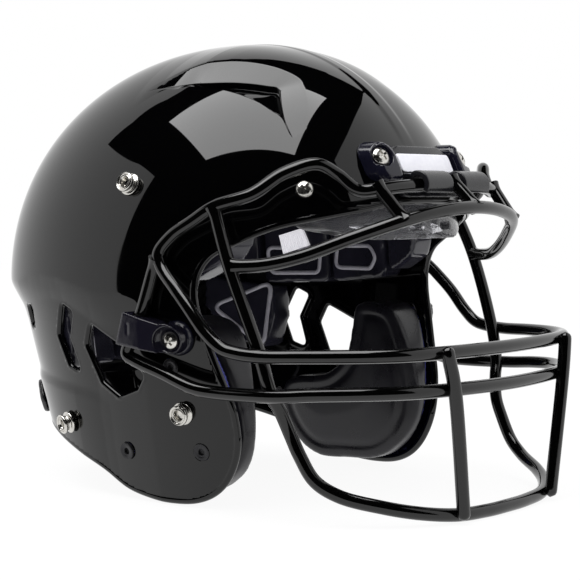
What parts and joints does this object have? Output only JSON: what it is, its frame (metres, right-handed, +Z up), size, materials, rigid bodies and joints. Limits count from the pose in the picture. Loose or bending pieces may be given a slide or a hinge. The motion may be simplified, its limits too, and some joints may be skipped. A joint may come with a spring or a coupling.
{
  "type": "american football helmet",
  "caption": "Football helmet: glossy shell with wire facemask that swings up in its bumper hooks, side clips, chin-strap snaps, air-cell liner and pull-off jaw pads.",
  "frame": {"origin": "bottom centre of the bounding box, on the surface that the helmet rests on", "axes": "+Z up, -Y forward out of the face opening, +X to the wearer's left"},
  "size_m": [0.2564, 0.3402, 0.2587],
  "materials": {
    "shell_black": "moulded polycarbonate with a high-gloss clear coat",
    "bar_coating": "gloss black plastic coating over steel wire",
    "smoked_plastic": "smoked dark moulded plastic",
    "dark_plastic": "dark satin-gloss moulded plastic",
    "plate_white": "plain white moulded plate",
    "bright_metal": "nickel-plated steel",
    "dark_metal": "black-coated steel",
    "liner_smoke": "smoky translucent urethane air cells",
    "liner_clear": "clear grey urethane",
    "jaw_foam": "soft satin urethane skin over foam",
    "backing_blue": "blue moulded backing plate"
  },
  "bodies": {
    "helmet": {"shell": "shell_black", "front_clip_right": "smoked_plastic", "front_clip_left": "smoked_plastic", "front_bumper": "dark_plastic", "rear_bumper": "dark_plastic", "bar_hook_right": "dark_plastic", "bar_hook_left": "dark_plastic", "nameplate": "plate_white", "size_label": "plate_white", "front_clip_screw_right": "bright_metal", "front_clip_screw_left": "bright_metal", "side_nut_right": "bright_metal", "side_nut_left": "bright_metal", "brow_screw_right": "bright_metal", "brow_screw_left": "bright_metal", "chin_snap_upper_right": "bright_metal", "chin_snap_upper_left": "bright_metal", "chin_snap_front_right": "bright_metal", "chin_snap_front_left": "bright_metal", "chin_snap_rear_right": "bright_metal", "chin_snap_rear_left": "bright_metal", "jaw_screw_front_right": "dark_metal", "jaw_screw_front_left": "dark_metal", "jaw_screw_rear_right": "dark_metal", "jaw_screw_rear_left": "dark_metal", "ear_screw_right": "dark_metal", "ear_screw_left": "dark_metal", "front_clip_nut_right": "dark_metal", "front_clip_nut_left": "dark_metal", "brow_nut_right": "dark_metal", "brow_nut_left": "dark_metal", "crown_pad": "liner_smoke", "back_pad": "liner_smoke", "side_pad_right": "liner_smoke", "side_pad_left": "liner_smoke", "rear_side_pad_right": "liner_smoke", "rear_side_pad_left": "liner_smoke", "front_pad": "liner_clear"},
    "mask": {"facemask": "bar_coating", "side_clip_right": "smoked_plastic", "side_clip_left": "smoked_plastic", "side_clip_screw_right": "bright_metal", "side_clip_screw_left": "bright_metal", "side_spacer_right": "smoked_plastic", "side_spacer_left": "smoked_plastic"},
    "jaw_pad_r": {"jaw_pad_right": "jaw_foam", "jaw_pad_backing_right": "backing_blue"},
    "jaw_pad_l": {"jaw_pad_left": "jaw_foam", "jaw_pad_backing_left": "backing_blue"}
  },
  "joints": [
    {"name": "facemask_swing", "type": "hinge", "parent": "helmet", "child": "mask", "pos_m": [0, -0.1252, 0.1756], "axis": [-1, 0, 0], "range_deg": [0, 85]},
    {"name": "jaw_pad_right_pull", "type": "slide", "parent": "helmet", "child": "jaw_pad_r", "axis": [1, 0, 0], "range_m": [0, 0.03]},
    {"name": "jaw_pad_left_pull", "type": "slide", "parent": "helmet", "child": "jaw_pad_l", "axis": [-1, 0, 0], "range_m": [0, 0.03]}
  ]
}
